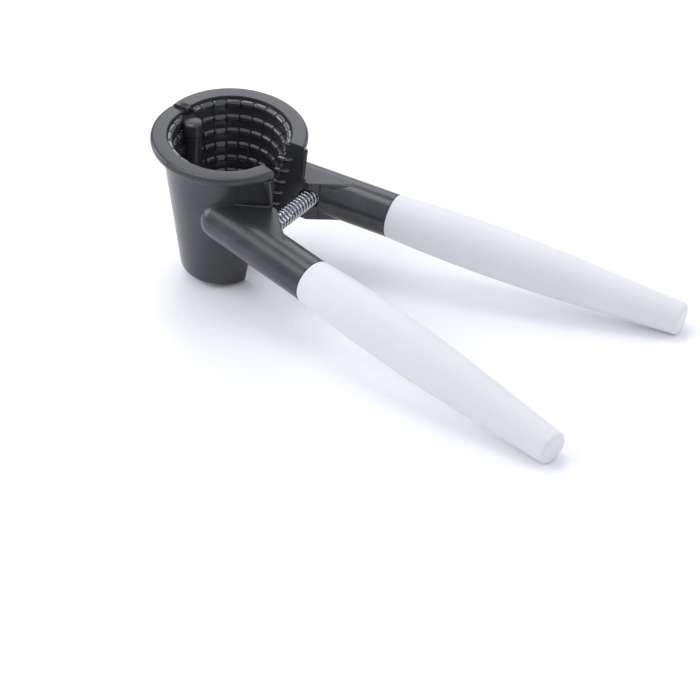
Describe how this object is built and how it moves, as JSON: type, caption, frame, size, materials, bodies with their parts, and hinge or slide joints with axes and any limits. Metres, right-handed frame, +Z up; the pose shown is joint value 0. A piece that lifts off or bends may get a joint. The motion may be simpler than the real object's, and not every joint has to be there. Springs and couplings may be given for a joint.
{
  "type": "lever nutcracker press",
  "caption": "Hand nutcracker: a split, stepped cup hinged at the back, squeezed shut round a nut by two long gripped levers and opened again by a spring.",
  "frame": {"origin": "centre of the part's box at table height, with the tool resting open on the front edge of its cup base and on both grip tips", "axes": "+X from the cup towards the grip tips, +Y towards the far side, +Z up from the table"},
  "size_m": [0.1772, 0.089, 0.0596],
  "materials": {
    "casting": "dark grey coated casting, semi-gloss",
    "grip_plastic": "white, matte",
    "pin_steel": "ground steel",
    "spring_steel": "bright drawn wire"
  },
  "bodies": {
    "near_side": {"near_jaw": "casting", "near_grip": "grip_plastic", "hinge_pin": "pin_steel", "return_spring": "spring_steel"},
    "far_side": {"far_jaw": "casting", "far_grip": "grip_plastic"}
  },
  "joints": [
    {"name": "squeeze", "type": "hinge", "parent": "near_side", "child": "far_side", "pos_m": [-0.07644, 0, 0.05804], "axis": [0.1854, 0, 0.9827], "range_deg": [-21, 0], "stiffness_Nm_per_rad": 2, "springref_deg": 4.3, "deforming": ["return_spring"]}
  ]
}
